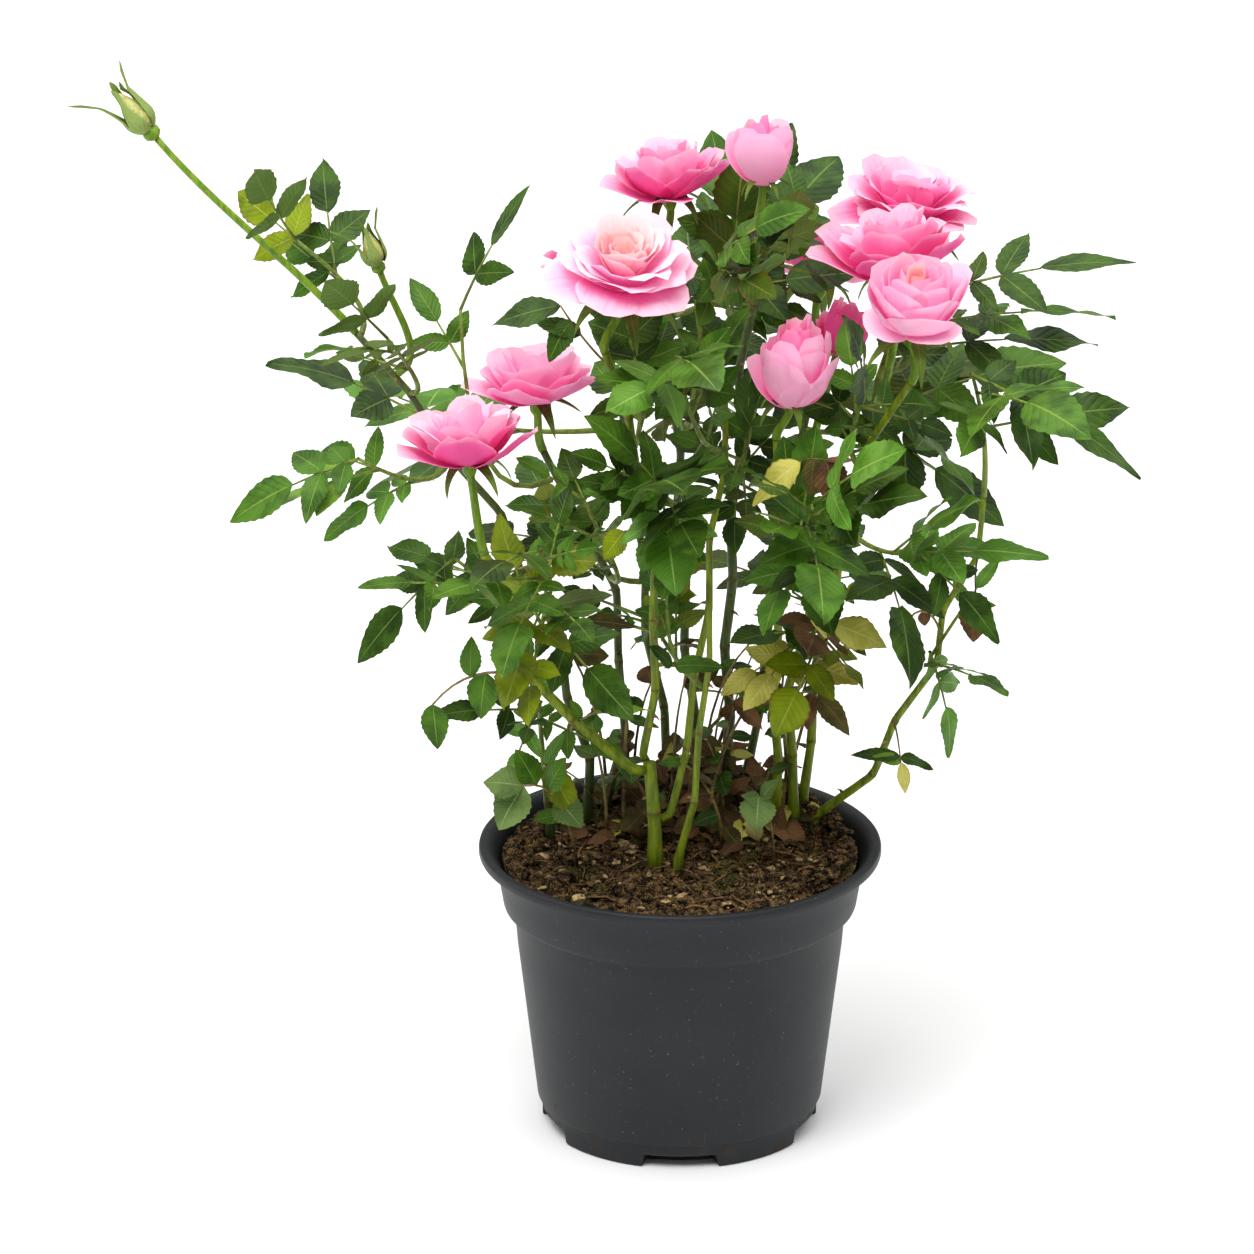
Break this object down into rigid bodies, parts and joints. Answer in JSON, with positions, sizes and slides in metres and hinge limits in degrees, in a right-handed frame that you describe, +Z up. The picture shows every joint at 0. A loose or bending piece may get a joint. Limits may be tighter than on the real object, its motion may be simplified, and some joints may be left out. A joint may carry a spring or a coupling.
{
  "type": "potted rose bush",
  "caption": "Miniature rose bush in a round nursery pot: slim canes rise from compost into a leafy crown with pink blooms and a long-stalked bud.",
  "frame": {"origin": "middle of the pot's flat underside, on the surface that the pot stands on", "axes": "+Z up, -Y towards the front with the leaning green canes, the long-stalked bud reaching out to -X"},
  "size_m": [0.3416, 0.2357, 0.3572],
  "materials": {
    "pot_plastic": "matt moulded slate-grey plastic with a soft sheen and fine scuffs",
    "compost": "moist dark brown peat compost with fibres, bark and pale grit",
    "green_cane": "smooth green rose cane with reddish nodes",
    "dark_cane": "older olive to brown rose cane",
    "leaf": "semi-gloss deep green leaflets with paler undersides",
    "petal": "satin pink petals, paler at the rim and cream at the heart",
    "bud": "green bud with long narrow sepals"
  },
  "bodies": {
    "root": {"pot": "pot_plastic", "soil": "compost", "cane_front_cut": "green_cane", "cane_front_left": "green_cane", "cane_front_bloom": "green_cane", "cane_front_right": "green_cane", "cane_front_dry": "green_cane", "cane_right_straight": "green_cane", "cane_right_front": "green_cane", "cane_right_back": "dark_cane", "cane_right_low": "green_cane", "cane_left_long": "dark_cane", "cane_left_bloom": "dark_cane", "cane_left_stub": "dark_cane", "cane_back_middle": "dark_cane", "cane_back_left": "dark_cane", "cane_far_right": "dark_cane", "cane_far_left": "dark_cane", "flower_front": "petal", "flower_back_left": "petal", "flower_top": "petal", "flower_right_back": "petal", "flower_right_middle": "petal", "flower_right_front": "petal", "flower_middle": "petal", "flower_left_front": "petal", "flower_left_back": "petal", "flower_hidden": "petal", "flower_far_right": "petal", "flower_far_left": "petal", "bud_long": "bud", "bud_small": "bud", "foliage_front_top": "leaf", "foliage_front_middle": "leaf", "foliage_front_right": "leaf", "foliage_front_left": "leaf", "foliage_core": "leaf", "foliage_top": "leaf", "foliage_top_right": "leaf", "foliage_upper_left": "leaf", "foliage_right_upper": "leaf", "foliage_right_tip": "leaf", "foliage_right_middle": "leaf", "foliage_right_droop": "leaf", "foliage_right_yellow": "leaf", "foliage_right_low": "leaf", "foliage_left_tip": "leaf", "foliage_left_upper": "leaf", "foliage_left_crest": "leaf", "foliage_left_side": "leaf", "foliage_left_low": "leaf", "foliage_left_foot": "leaf", "foliage_left_inner": "leaf", "foliage_low_middle": "leaf", "foliage_back_left": "leaf", "foliage_back_middle": "leaf", "foliage_back_right": "leaf", "foliage_back_top": "leaf", "foliage_back_foot_left": "leaf", "foliage_back_foot_right": "leaf"}
  },
  "joints": []
}
